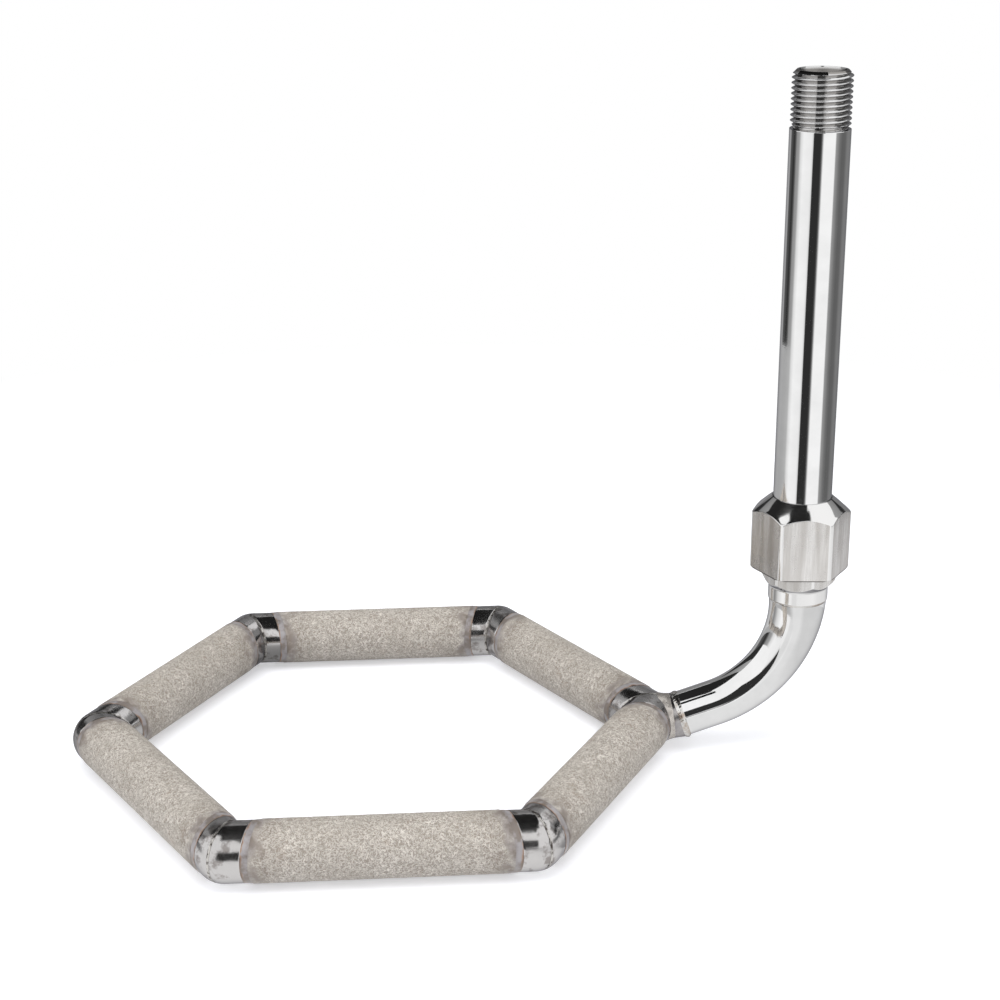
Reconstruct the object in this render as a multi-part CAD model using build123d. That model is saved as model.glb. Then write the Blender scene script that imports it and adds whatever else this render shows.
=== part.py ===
from build123d import *
from math import cos, radians, sin, sqrt
import os

os.makedirs("parts", exist_ok=True)

# A ring sparger: six porous sintered tubes, joined by mitred steel corners into a flat hexagon.
# A branch leaves one corner, bends upright and carries a union and a threaded inlet pipe.
# The ring is drawn about its own centre, with the branch corner on +X, and is moved at the end.

# Ring
SIDES = 6
RING_SIDE = 103.0          # corner to corner along the tubes' axes, which is also centre to corner
POROUS_OD = 21.3
POROUS_WALL = 2.5
POROUS_EDGE = 0.25         # chamfer on a porous tube's ends
STUB_OD = 20.8             # steel corner stubs, a little smaller than the porous tubes
# Corner to weld at the two ends of each tube, as fitted by hand
STUB_LENGTHS = ((9.0, 9.0), (9.0, 9.0), (8.5, 8.5), (5.0, 5.0), (8.5, 7.5), (6.0, 8.5))
END_TILT = 17.0            # degrees, the slant of the tubes' ends towards the mitres
BAND_OD = 21.05            # weld between a stub and its porous tube
BAND_WIDTH = 2.5
SEAM_WIDTH = 0.8           # weld along a mitre
SEAM_DEPTH = 0.15          # how far it lies under the ground skin of the stubs

# Branch and bend
BRANCH_OD = 17.2
BRANCH_WALL = 2.0
BRANCH_LENGTH = 10.9       # from the corner point to the branch weld
BRANCH_RISE = 6.4          # degrees above level
SADDLE_SPREAD = 1.1        # how far the weld at its foot reaches over the corner
SADDLE_CLIMB = 2.6         # and how far it climbs the branch
BRANCH_WELD_WIDTH = 2.4
BRANCH_WELD_CROWN = 0.85
WELD_TOE = 0.2             # step where a raised bead meets the tube
BEND_RISE = 18.5           # degrees above level at its lower end
BEND_LEG = 12.0            # straight length before it curves
BEND_RADIUS = 44.3
BEND_WALL = 2.0
BEND_STATIONS = 6          # sections along the curve
BEND_SWELL = 1.9           # above 1, most of the widening is near the top

# Upright pipe and its union
PIPE_OD = 21.3
PIPE_BORE = 15.8
PIPE_LENGTH = 167.65
THREAD_OD = 20.955         # parallel half inch pipe thread
THREAD_LENGTH = 20.0
THREAD_CHAMFER = 1.6
MOUTH_CHAMFER = 0.6        # inside the pipe's upper end, on the radius
MOUTH_DEPTH = 1.0          # and down the bore
RELIEF_WIDTH = 1.0         # groove at the foot of the upper thread
RELIEF_DEPTH = 0.9
THREAD_LEAD = 1.0          # chamfer at the end of a hidden thread
THREAD_CLEARANCE = 0.05    # on the radius, between a thread and the coupling
ADAPTER_WELD_WIDTH = 1.0
ADAPTER_WELD_CROWN = 0.15
NECK_OD = 22.0
NECK_LENGTH = 4.9
ADAPTER_FLATS = 24.0
ADAPTER_CORNERS = 27.3
ADAPTER_HEX = 6.6
ADAPTER_TURN = -19.7       # degrees, where the hexagon stopped when it was tightened
COUPLING_FLATS = 32.0
COUPLING_CORNERS = 36.2
COUPLING_LENGTH = 27.9
COUPLING_TURN = -5.2
SHOULDER_HEIGHT = 6.2      # cone on the coupling's top
SHOULDER_MOUTH = 22.0      # where that cone ends, round the pipe
BASE_CHAMFER = 0.35        # height of the small chamfer under the coupling's corners
BASE_CHAMFER_RUN = 0.7     # and how far it reaches in
COUNTERSINK = 0.4

# Worked out from these
porous_r = POROUS_OD / 2
bore_r = porous_r - POROUS_WALL
stub_r = STUB_OD / 2
branch_r = BRANCH_OD / 2
branch_bore_r = branch_r - BRANCH_WALL
pipe_r = PIPE_OD / 2
pipe_bore_r = PIPE_BORE / 2
thread_r = THREAD_OD / 2
tapped_r = thread_r + THREAD_CLEARANCE
neck_r = NECK_OD / 2
corner_turn = 360 / SIDES
mitre = corner_turn / 2
reach = 3 * STUB_OD        # longer than any cut has to be

corner = Vector(RING_SIDE, 0, porous_r)
branch_dir = Vector(cos(radians(BRANCH_RISE)), 0, sin(radians(BRANCH_RISE)))
bend_dir = Vector(cos(radians(BEND_RISE)), 0, sin(radians(BEND_RISE)))
branch_end = corner + branch_dir * BRANCH_LENGTH
bend_start = branch_end + bend_dir * BRANCH_WELD_WIDTH
curve_start = bend_start + bend_dir * BEND_LEG
riser_x = curve_start.X + BEND_RADIUS * (1 - sin(radians(BEND_RISE)))
bend_top = curve_start.Z + BEND_RADIUS * cos(radians(BEND_RISE))
neck_base = bend_top + ADAPTER_WELD_WIDTH
hex_base = neck_base + NECK_LENGTH
coupling_base = hex_base + ADAPTER_HEX
coupling_top = coupling_base + COUPLING_LENGTH
pipe_base = coupling_base + COUPLING_LENGTH / 2   # the two male threads meet inside the coupling
pipe_top = pipe_base + PIPE_LENGTH

ON_PLANE = (Align.CENTER, Align.CENTER, Align.MIN)


def level(degrees):
    """A level direction, this many degrees from +X."""
    return Vector(cos(radians(degrees)), sin(radians(degrees)), 0)


def rod(start, direction, radius, length):
    return Plane(origin=start, z_dir=direction) * Cylinder(radius, length, align=ON_PLANE)


def turned(outline, start, direction):
    """Revolves a closed outline of (radius, height) points round a line that leaves start."""
    edge = Polyline(*[(r, 0, h) for r, h in outline], close=True)
    return Plane(origin=start, z_dir=direction) * revolve(make_face(edge), Axis.Z)


def upright(outline):
    return turned(outline, Vector(riser_x, 0, 0), Vector(0, 0, 1))


def slab(origin, direction, thickness):
    return Plane(origin=origin, z_dir=direction) * Box(reach, reach, thickness, align=ON_PLANE)


def along_tube(sign):
    """The way a tube leaves the branch corner: sign 1 for the next tube round, -1 for the last."""
    return level(sign * (90 + mitre))


def tilted(sign):
    """The same way, turned so that a cut square to it slants towards the mitre."""
    return level(sign * (90 + mitre - END_TILT))


def elbow_shape(radius):
    """Two rods that meet at the corner point, with a ball to round the outside of the mitre."""
    arms = [rod(corner, along_tube(sign), radius, reach) for sign in (1, -1)]
    return Pos(corner) * Sphere(radius) + arms


def arm_shape(sign, radius):
    return Pos(corner) * Sphere(radius) + rod(corner, along_tube(sign), radius, reach)


def corner_stub(sign, length):
    own_side = slab(corner + level(sign * 90) * (SEAM_WIDTH / 2), level(sign * 90), reach)
    beyond = slab(corner + along_tube(sign) * length, tilted(sign), reach)
    return (arm_shape(sign, stub_r) & own_side) - beyond - arm_shape(sign, bore_r)


def mitre_seam():
    seam = Pos(corner) * Box(reach, SEAM_WIDTH, reach)
    return (elbow_shape(stub_r - SEAM_DEPTH) & seam) - elbow_shape(bore_r)


def weld_band(sign, length):
    """Low ring, slanting like the ends it joins."""
    here = slab(corner + along_tube(sign) * length, tilted(sign), BAND_WIDTH)
    ring = rod(corner, along_tube(sign), BAND_OD / 2, reach) & here
    return ring - rod(corner, along_tube(sign), bore_r, reach)


def porous_tube(near_length, far_length):
    """Runs from the branch corner to the next one, with both ends slanting."""
    weld = BAND_WIDTH / cos(radians(END_TILT))
    near_end = corner + along_tube(1) * (near_length + weld)
    far_end = corner + along_tube(1) * (RING_SIDE - far_length - weld)
    outside = rod(corner, along_tube(1), porous_r, RING_SIDE)
    outside -= slab(near_end, tilted(1) * -1, reach)
    outside -= slab(far_end, level(90 + mitre + END_TILT), reach)
    outside = chamfer(outside.edges().filter_by(GeomType.ELLIPSE), POROUS_EDGE)
    return outside - rod(corner, along_tube(1), bore_r, RING_SIDE)


def branch_bore():
    return rod(corner, branch_dir, branch_bore_r, reach)


def branch_stub():
    """Short nozzle, coped to the corner and cut square to the bend at its far end."""
    blank = rod(corner, branch_dir, branch_r, 2 * BRANCH_LENGTH)
    return blank - slab(branch_end, bend_dir, reach) - elbow_shape(stub_r) - branch_bore()


def saddle_weld():
    """Fillet weld round the foot of the branch."""
    toe_r = branch_r + SADDLE_SPREAD
    toe = sqrt(stub_r**2 - toe_r**2)
    seat = sqrt(stub_r**2 - branch_r**2)
    outline = [(branch_r, 0), (toe_r, 0), (toe_r, toe),
               (branch_r + SADDLE_SPREAD / 3, (toe + seat + SADDLE_CLIMB) / 2),
               (branch_r, seat + SADDLE_CLIMB)]
    return turned(outline, corner, branch_dir) - elbow_shape(stub_r)


def branch_weld():
    outline = Polyline(
        (branch_r + WELD_TOE, 0, BRANCH_WELD_WIDTH),
        (branch_bore_r, 0, BRANCH_WELD_WIDTH),
        (branch_bore_r, 0, 0),
        (branch_r + WELD_TOE, 0, 0),
    )
    crown = (branch_r + BRANCH_WELD_CROWN, 0, BRANCH_WELD_WIDTH / 2)
    outline += ThreePointArc(outline @ 1, crown, outline @ 0)
    return Plane(origin=branch_end, z_dir=bend_dir) * revolve(make_face(outline), Axis.Z)


def bend_section(angle, radius):
    """Circle across the bend where it has climbed to this angle."""
    back = BEND_RADIUS * (1 - sin(radians(angle)))
    drop = BEND_RADIUS * cos(radians(angle))
    centre = Vector(riser_x - back, 0, bend_top - drop)
    along = Vector(cos(radians(angle)), 0, sin(radians(angle)))
    return Plane(origin=centre, x_dir=(0, 1, 0), z_dir=along) * Circle(radius)


def tapered_bend(small_r, large_r):
    """Straight leg, then a curve that widens from the branch's size to the pipe's."""
    sections = []
    for i in range(BEND_STATIONS + 1):
        share = i / BEND_STATIONS
        radius = small_r + (large_r - small_r) * share**BEND_SWELL
        sections.append(bend_section(BEND_RISE + (90 - BEND_RISE) * share, radius))
    return rod(bend_start, bend_dir, small_r, BEND_LEG) + loft(sections)


def inlet_bend():
    return tapered_bend(branch_r, pipe_r) - tapered_bend(branch_bore_r, pipe_r - BEND_WALL)


def adapter_weld():
    """Thin rough bead between the bend and the adapter's neck."""
    middle = (bend_top + neck_base) / 2
    return upright([
        (pipe_r - BEND_WALL, bend_top), (pipe_r, bend_top), (neck_r + ADAPTER_WELD_CROWN, middle),
        (neck_r, neck_base), (pipe_bore_r, neck_base),
    ])


def hexagon(flats, turn, base, height):
    outline = RegularPolygon(flats / 2, SIDES, major_radius=False, rotation=turn)
    return Pos(riser_x, 0, base) * extrude(outline, height)


def weld_adapter():
    """Welding neck, small hexagon and a male thread that fills half of the coupling."""
    hex_r = ADAPTER_CORNERS / 2
    grip = hexagon(ADAPTER_FLATS, ADAPTER_TURN, hex_base, ADAPTER_HEX)
    grip &= upright([(0, hex_base), (neck_r, hex_base), (hex_r, hex_base + hex_r - neck_r),
                     (hex_r, coupling_base), (0, coupling_base)])
    neck = upright([(0, neck_base), (neck_r, neck_base), (neck_r, hex_base), (0, hex_base)])
    thread = upright([(0, coupling_base), (thread_r, coupling_base), (thread_r, pipe_base - THREAD_LEAD),
                      (thread_r - THREAD_LEAD, pipe_base), (0, pipe_base)])
    hole = rod(Vector(riser_x, 0, neck_base), Vector(0, 0, 1), pipe_bore_r, reach)
    return neck + grip + thread - hole


def hex_coupling():
    """Hexagon turned down at its corners, with a polished cone that scallops the flats."""
    turned_r = COUPLING_CORNERS / 2
    mouth_r = SHOULDER_MOUTH / 2
    sink_r = tapped_r + COUNTERSINK
    grip = hexagon(COUPLING_FLATS, COUPLING_TURN, coupling_base, COUPLING_LENGTH)
    grip &= upright([(0, coupling_base), (turned_r - BASE_CHAMFER_RUN, coupling_base),
                     (turned_r, coupling_base + BASE_CHAMFER), (turned_r, coupling_top - SHOULDER_HEIGHT),
                     (mouth_r, coupling_top), (0, coupling_top)])
    hole = upright([(0, coupling_base), (tapped_r, coupling_base), (tapped_r, coupling_top - COUNTERSINK),
                    (sink_r, coupling_top), (0, coupling_top)])
    return grip - hole


def riser_pipe():
    """Polished pipe, threaded at both ends. The threads are drawn as plain full diameters."""
    shoulder = coupling_top - COUNTERSINK / 2
    relief_base = pipe_top - THREAD_LENGTH
    relief_top = relief_base + RELIEF_WIDTH
    relief_r = thread_r - RELIEF_DEPTH
    return upright([
        (pipe_bore_r, pipe_base), (thread_r - THREAD_LEAD, pipe_base), (thread_r, pipe_base + THREAD_LEAD),
        (thread_r, shoulder), (pipe_r, shoulder), (pipe_r, relief_base),
        (relief_r, relief_base), (relief_r, relief_top),
        (thread_r, relief_top), (thread_r, pipe_top - THREAD_CHAMFER),
        (thread_r - THREAD_CHAMFER, pipe_top), (pipe_bore_r + MOUTH_CHAMFER, pipe_top),
        (pipe_bore_r, pipe_top - MOUTH_DEPTH),
    ])


def build_ring(pieces):
    """Tube i runs from corner i to corner i + 1; stub a of a corner starts the tube of its number."""
    seam = mitre_seam()
    for i in range(SIDES):
        turn = Rot(0, 0, corner_turn * i)
        after, far = STUB_LENGTHS[i]
        before = STUB_LENGTHS[i - 1][1]
        metal = {
            f"corner_stub_{i + 1}a": corner_stub(1, after),
            f"corner_stub_{i + 1}b": corner_stub(-1, before),
            f"mitre_weld_{i + 1}": seam,
        }
        for name, piece in metal.items():
            pieces[name] = turn * (piece - branch_bore() if i == 0 else piece)
        pieces[f"tube_weld_{i + 1}a"] = turn * weld_band(1, after)
        pieces[f"tube_weld_{i + 1}b"] = turn * weld_band(-1, before)
        pieces[f"porous_tube_{i + 1}"] = turn * porous_tube(after, far)


def build_inlet(pieces):
    pieces["branch_stub"] = branch_stub()
    pieces["saddle_weld"] = saddle_weld()
    pieces["branch_weld"] = branch_weld()
    pieces["inlet_bend"] = inlet_bend()
    pieces["adapter_weld"] = adapter_weld()
    pieces["weld_adapter"] = weld_adapter()
    pieces["hex_coupling"] = hex_coupling()
    pieces["riser_pipe"] = riser_pipe()


pieces = {}
build_ring(pieces)
build_inlet(pieces)

# The part stands with its origin under the middle of its footprint
whole = Compound([solid for piece in pieces.values() for solid in piece.solids()]).bounding_box()
home = Pos(-whole.center().X, -whole.center().Y, -whole.min.Z)
for name, piece in pieces.items():
    export_step(home * piece, f"parts/{name}.step")
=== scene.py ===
import math

import bpy
import numpy as np
from mathutils import Matrix, Vector, noise


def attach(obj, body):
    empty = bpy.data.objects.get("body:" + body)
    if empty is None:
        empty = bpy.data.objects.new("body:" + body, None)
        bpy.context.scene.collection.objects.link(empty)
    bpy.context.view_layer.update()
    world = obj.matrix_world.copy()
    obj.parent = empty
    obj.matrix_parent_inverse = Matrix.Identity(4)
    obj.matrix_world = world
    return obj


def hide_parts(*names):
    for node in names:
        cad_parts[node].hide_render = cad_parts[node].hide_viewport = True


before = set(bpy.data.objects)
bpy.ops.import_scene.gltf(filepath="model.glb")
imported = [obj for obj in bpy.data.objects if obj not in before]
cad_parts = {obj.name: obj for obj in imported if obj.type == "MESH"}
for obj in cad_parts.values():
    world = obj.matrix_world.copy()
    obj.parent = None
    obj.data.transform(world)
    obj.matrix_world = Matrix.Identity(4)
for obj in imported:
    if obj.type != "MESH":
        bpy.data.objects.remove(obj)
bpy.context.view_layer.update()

# Sizes from the part's source, in millimetres
RING_X = -31.207           # the ring's centre
RISER_X = 126.525          # the riser's axis
SIDES = 6
SIDE = 103.0               # one side of the hexagon, and also the distance from its centre to a corner
POROUS_R = 10.65
BORE_R = 8.15
STUB_R = 10.4
STUB_LENGTHS = ((9.0, 9.0), (9.0, 9.0), (8.5, 8.5), (5.0, 5.0), (8.5, 7.5), (6.0, 8.5))
END_TILT = math.radians(17.0)
BAND_R = 10.525
BAND_WIDTH = 2.5
SEAM_WIDTH = 0.8
BRANCH_R = 8.6
BRANCH_BORE_R = 6.6
BRANCH_LENGTH = 10.9
BRANCH_RISE = math.radians(6.4)
SADDLE_SPREAD = 1.1
SADDLE_CLIMB = 2.6
BRANCH_WELD_WIDTH = 2.4
BRANCH_WELD_CROWN = 0.85
BEND_RISE = math.radians(18.5)
BEND_LEG = 12.0
BEND_RADIUS = 44.3
BEND_WALL = 2.0
BEND_SWELL = 1.9           # power with which the bend grows thicker along its arc
PIPE_R = 10.65
PIPE_BORE_R = 7.9
BEND_TOP = 58.445
NECK_BASE = 59.445
NECK_R = 11.0
HEX_BASE = 64.345
COUPLING_BASE = 70.945
COUPLING_TOP = 98.845
PIPE_BASE = 84.895
PIPE_TOP = 252.545
THREAD_R = 10.4775
THREAD_LENGTH = 20.0
THREAD_PITCH = 1.8143
THREAD_DEPTH = 1.162
THREAD_CHAMFER = 1.6
TAPPED_R = 10.5275
ADAPTER_FLATS = 24.0
ADAPTER_CORNERS = 27.3
ADAPTER_TURN = math.radians(-19.7)
COUPLING_FLATS = 32.0
COUPLING_CORNERS = 36.2
COUPLING_TURN = math.radians(-5.2)
SHOULDER_HEIGHT = 6.2
SHOULDER_MOUTH = 22.0
BASE_CHAMFER = 0.35
BASE_CHAMFER_RUN = 0.7
COUNTERSINK = 0.4
RELIEF_WIDTH = 1.0
RELIEF_R = 9.5775
MOUTH_CHAMFER = 0.6
MOUTH_DEPTH = 1.0
NECK_FILLET = 0.5

# Sizes of the finer shapes that only this script draws, in millimetres
GRAIN_SIZE = 1.5           # spacing of the sintered grains' pattern
GRAIN_DEPTH = 0.04
GRAIN_ROWS = 208
HEATED_LENGTH = 14.0       # how far the welding heat has browned the porous tubes
MELTED_LENGTH = 4.84       # how far it has melted their grains
MELTED_FADE = 2.2
EDGE_ROUND = 0.15          # rounding at the porous tubes' ends
STUB_EDGE = 0.12           # chamfer at the stubs' ends
STUB_INSET = 0.08
STUB_DENT = 0.020          # wide shallow dents from grinding by hand
STUB_DENT_SIZE = 4.2
STUB_PIT = 0.008
STUB_PIT_SIZE = 1.6
STUB_SUNK = 0.016
STUB_ROLL = 0.05           # how far the stubs' ends are rolled in
BAND_CROWN = 0.05
BAND_LUMP = 0.045
BAND_LUMP_SIZE = 2.6
BAND_RIPPLE = 0.02
BAND_RIPPLES = 52          # ripples round the weld
SEAM_SUNK = 0.03
SEAM_GROOVE = 0.05
SEAM_PIT = 0.10
SEAM_PIT_SIZE = 1.1
BRANCH_WAVE = 0.02
SADDLE_SAG = 0.12
SADDLE_LUMP = 0.05
BEAD_LUMP = 0.16
BEAD_RIPPLE = 0.05
BEAD_RIPPLES = 46
NECK_LUMP = 0.10
NECK_RIPPLE = 0.03
NECK_RIPPLES = 64
SOFT_EDGE = 0.14           # rounding of the hexagons' edges
LAND_EDGE = 0.12           # the polished lands at the hexagons' corners start this far inside
SHOULDER_SWELL = 0.12      # crown of the coupling's cone
SHADED_EDGE = 0.3            # height of the coupling's lower edge that gets painted shade where it meets the adapter
THREAD_ROWS = 26           # rows of the mesh to each turn of the thread
THREAD_CROWN = 0.06
THREAD_RUN_OUT = 1.2       # slope with which the thread climbs out of its relief groove
SHARP_ANGLE = 35           # degrees between faces from which an edge is drawn sharp

# The camera of the photograph, in metres and degrees
CAMERA_X, CAMERA_Y, CAMERA_Z = -0.028978, -0.663181, 0.334736
CAMERA_YAW = -3.828
CAMERA_PITCH = -19.429
CAMERA_ROLL = -0.338
CAMERA_LENS = 69.94

MILLIMETRE = 0.001
UP = np.array([0.0, 0.0, 1.0])
TILT = math.tan(END_TILT)
MITRE = math.radians(30)


# Mesh building

def add_object(name, data):
    thing = bpy.data.objects.new(name, data)
    bpy.context.collection.objects.link(thing)
    return thing


def level(angle):
    return np.array([math.cos(angle), math.sin(angle), 0.0])


def ring_angles(count):
    return np.linspace(0, 2 * math.pi, count, endpoint=False)


def signed_volume(points, quads):
    a, b, c, d = (points[quads[:, k]] for k in range(4))
    first = np.einsum("ij,ij->i", a, np.cross(b, c)).sum()
    second = np.einsum("ij,ij->i", a, np.cross(c, d)).sum()
    return (first + second) / 6


def closed_skin(name, rings, **attributes):
    """Joins rings of points into one closed skin, the last ring to the first, and makes its object."""
    rings = np.asarray(rings, dtype=float)
    rows, columns = rings.shape[:2]
    points = rings.reshape(-1, 3)
    index = np.arange(rows * columns).reshape(rows, columns)
    below = np.roll(index, -1, 0)
    right = np.roll(index, -1, 1)
    corner = np.roll(right, -1, 0)
    quads = np.stack([index, right, corner, below], -1).reshape(-1, 4)
    if signed_volume(points - points.mean(0), quads) < 0:
        quads = quads[:, ::-1]
    mesh = bpy.data.meshes.new(name)
    mesh.vertices.add(len(points))
    mesh.vertices.foreach_set("co", (points * MILLIMETRE).ravel())
    mesh.loops.add(quads.size)
    mesh.loops.foreach_set("vertex_index", quads.ravel())
    mesh.polygons.add(len(quads))
    mesh.polygons.foreach_set("loop_start", np.arange(0, quads.size, 4))
    mesh.polygons.foreach_set("use_smooth", np.ones(len(quads), dtype=bool))
    mesh.update(calc_edges=True)
    for key, values in attributes.items():
        layer = mesh.attributes.new(key, "FLOAT", "POINT")
        values = np.broadcast_to(values, (rows, columns)).ravel()
        layer.data.foreach_set("value", values.astype(np.float32))
    mesh.set_sharp_from_angle(angle=math.radians(SHARP_ANGLE))
    return add_object(name, mesh)


def dress(thing, node, material):
    thing.data.materials.append(material)
    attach(thing, "root")
    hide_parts(node)


def rough(points, size):
    """Smooth noise at every point, from -1 to 1, with features about size millimetres apart."""
    values = [noise.noise(Vector(point)) for point in points.reshape(-1, 3) / size]
    return np.array(values).reshape(points.shape[:-1])


def rough_round(theta, lobes, lift):
    """Noise that closes on itself round a circle."""
    points = np.stack([np.cos(theta) * lobes, np.sin(theta) * lobes, np.full_like(theta, lift)], -1)
    return rough(points, 1.0)


def worms(points, size):
    """Short branching ridges, as sintered grains look from a little way off: 0 low, 1 high."""
    shifts = [rough(points + shift, size * 1.3) for shift in (7, 41, 83)]
    warped = points + 0.3 * size * np.stack(shifts, -1)
    return 1 - np.clip(np.abs(rough(warped, size)) * 3.4, 0, 1)


def smooth_min(a, b, width):
    """The smaller of two values, with the crease between them rounded over this width."""
    mix = np.clip(0.5 + (b - a) / (2 * width), 0, 1)
    return b * (1 - mix) + a * mix - width * mix * (1 - mix)


# The ring

class Arm:
    """One tube's axis as it leaves a corner: sign 1 for the next tube round, -1 for the last."""

    def __init__(self, corner, sign):
        turn = corner * math.pi / 3
        self.origin = np.array([RING_X, 0, POROUS_R]) + level(turn) * SIDE
        self.along = level(turn + sign * (math.pi / 2 + MITRE))
        self.inward = level(turn + sign * (math.pi + MITRE))

    def outward(self, theta):
        return np.cos(theta)[..., None] * self.inward + np.sin(theta)[..., None] * UP

    def point(self, theta, distance, radius):
        radius = np.broadcast_to(radius, theta.shape)
        distance = np.broadcast_to(distance, theta.shape)
        return self.origin + distance[..., None] * self.along + radius[..., None] * self.outward(theta)

    def skin(self, theta, offset, radius):
        """A point on the rounded mitred skin, this far from the mitre's plane."""
        radius = np.broadcast_to(radius, theta.shape)
        reach = (offset + radius * np.cos(theta) * math.sin(MITRE)) / math.cos(MITRE)
        side = math.sin(MITRE) * np.abs(np.cos(theta))
        size = np.hypot(side, math.cos(MITRE))
        lean = np.arccos(np.clip(offset / (radius * size), -1, 1)) - np.arctan2(math.cos(MITRE), side)
        direction = np.cos(lean)[..., None] * self.outward(theta) - np.sin(lean)[..., None] * self.along
        on_ball = self.origin + radius[..., None] * direction
        on_tube = self.point(theta, reach, radius)
        return np.where((reach < 0)[..., None], on_ball, on_tube), reach, lean


def side_letter(sign):
    return "a" if sign > 0 else "b"


def porous_tube(corner, near_length, far_length):
    arm = Arm(corner, 1)
    weld = BAND_WIDTH / math.cos(END_TILT)
    columns = 180
    theta = ring_angles(columns)
    near = near_length + weld
    far = SIDE - far_length - weld
    slant = POROUS_R * np.cos(theta) * TILT
    quarter = []
    for turn in np.radians([0, 30, 60, 90]):
        inset = EDGE_ROUND * (1 - math.cos(turn))
        quarter.append((inset, POROUS_R - EDGE_ROUND + EDGE_ROUND * math.sin(turn)))
    rings = []
    browned = []
    grain = []

    def add_edge(inset, radius, at_far):
        lean = radius * np.cos(theta) * TILT
        where = far - lean - inset if at_far else near + lean + inset
        rings.append(arm.point(theta, where, radius))
        browned.append(np.ones(columns))
        grain.append(np.full(columns, 0.5))

    add_edge(0.0, BORE_R, False)
    for inset, radius in quarter:
        add_edge(inset, radius, False)
    start = near + slant + EDGE_ROUND
    end = far - slant - EDGE_ROUND
    for share in np.linspace(0, 1, GRAIN_ROWS)[1:-1]:
        where = start * (1 - share) + end * share
        relief = worms(arm.point(theta, where, POROUS_R), GRAIN_SIZE)
        close = np.minimum(where - near - slant, far - slant - where)
        melted = np.clip((MELTED_LENGTH - close) / MELTED_FADE, 0, 1)
        relief = relief * (1 - melted) + 0.6 * melted
        rings.append(arm.point(theta, where, POROUS_R - GRAIN_DEPTH * (1 - relief)))
        browned.append(np.clip(1 - close / HEATED_LENGTH, 0, 1))
        grain.append(relief)
    for inset, radius in quarter[::-1]:
        add_edge(inset, radius, True)
    add_edge(0.0, BORE_R, True)
    return closed_skin(f"sintered_tube_{corner + 1}", rings, browned=np.array(browned), grain=np.array(grain))


def corner_stub(corner, sign, length):
    """Half of a corner: round the corner's ball on its outer side, then along the tube to the slanted end."""
    arm = Arm(corner, sign)
    columns = 132
    rows = 30
    theta = ring_angles(columns)
    reach, lean = arm.skin(theta, SEAM_WIDTH / 2, STUB_R)[1:]
    arc = np.where(reach < 0, STUB_R * lean, 0)
    first = np.where(reach < 0, 0, reach)
    total = arc + length + STUB_R * np.cos(theta) * TILT - first
    rings = [arm.skin(theta, SEAM_WIDTH / 2, BORE_R)[0]]
    rings.append(arm.skin(theta, SEAM_WIDTH / 2, STUB_R - STUB_EDGE)[0])
    for share in np.linspace(0, 1, rows):
        run = STUB_INSET + share * (total - 2 * STUB_INSET)
        on_arc = run < arc
        turn = np.where(on_arc, (arc - run) / STUB_R, 0)
        where = np.where(on_arc, 0, first + run - arc)
        base = arm.point(theta, where, 0.0)
        normal = np.cos(turn)[..., None] * arm.outward(theta) - np.sin(turn)[..., None] * arm.along
        skin = base + STUB_R * normal
        dent = STUB_DENT * rough(skin, STUB_DENT_SIZE) + STUB_PIT * rough(skin + 31, STUB_PIT_SIZE)
        roll = STUB_ROLL * math.exp(-min(share, 1 - share) * rows / 1.5)
        rings.append(base + (STUB_R + dent - STUB_SUNK - roll)[..., None] * normal)
    for radius in (STUB_R - STUB_EDGE, BORE_R):
        rings.append(arm.point(theta, length + radius * np.cos(theta) * TILT, radius))
    return closed_skin(f"corner_{corner + 1}{side_letter(sign)}", rings)


def weld_band(corner, sign, length):
    arm = Arm(corner, sign)
    columns = 160
    rows = 11
    theta = ring_angles(columns)
    weld = BAND_WIDTH / math.cos(END_TILT)
    slant = np.cos(theta) * TILT
    rings = [arm.point(theta, length + BORE_R * slant, BORE_R)]
    across = [0.0]
    for share in np.linspace(0, 1, rows):
        bow = math.sin(math.pi * share)
        ripple = BAND_RIPPLE * np.cos(theta * BAND_RIPPLES + 12.8 * (share - 0.5) ** 2 + corner)
        crown = (STUB_R - 0.04) * (1 - share) + (POROUS_R - EDGE_ROUND) * share + BAND_CROWN * bow**0.7
        where = length + weld * share + STUB_R * slant
        lump = BAND_LUMP * rough(arm.point(theta, where, STUB_R) + 5, BAND_LUMP_SIZE)
        radius = np.minimum(crown + (ripple + lump) * bow, BAND_R + 0.05)
        rings.append(arm.point(theta, where, radius))
        across.append(share)
    rings.append(arm.point(theta, length + weld + BORE_R * slant, BORE_R))
    across.append(1.0)
    name = f"tube_band_{corner + 1}{side_letter(sign)}"
    return closed_skin(name, rings, across=np.array(across)[:, None])


def mitre_seam(corner):
    columns = 260
    rows = 9
    theta = ring_angles(columns)
    last = Arm(corner, -1)
    following = Arm(corner, 1)
    half = SEAM_WIDTH / 2
    rings = [last.skin(theta, half, BORE_R)[0]]
    for offset in np.linspace(-half, half, rows):
        arm = following if offset >= 0 else last
        line = arm.skin(theta, abs(offset), STUB_R)[0]
        groove = 1 - (offset / half) ** 2
        pits = np.clip(rough(line + corner * 17, SEAM_PIT_SIZE), 0, 1)
        drop = SEAM_SUNK + groove * (SEAM_GROOVE + SEAM_PIT * pits)
        rings.append(arm.skin(theta, abs(offset), STUB_R - drop)[0])
    rings.append(following.skin(theta, half, BORE_R)[0])
    return closed_skin(f"mitre_seam_{corner + 1}", rings)


# Branch, bend and union

branch_dir = np.array([math.cos(BRANCH_RISE), 0, math.sin(BRANCH_RISE)])
bend_dir = np.array([math.cos(BEND_RISE), 0, math.sin(BEND_RISE)])
corner_point = np.array([RING_X + SIDE, 0, POROUS_R])
branch_end = corner_point + branch_dir * BRANCH_LENGTH
bend_start = branch_end + bend_dir * BRANCH_WELD_WIDTH


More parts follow.
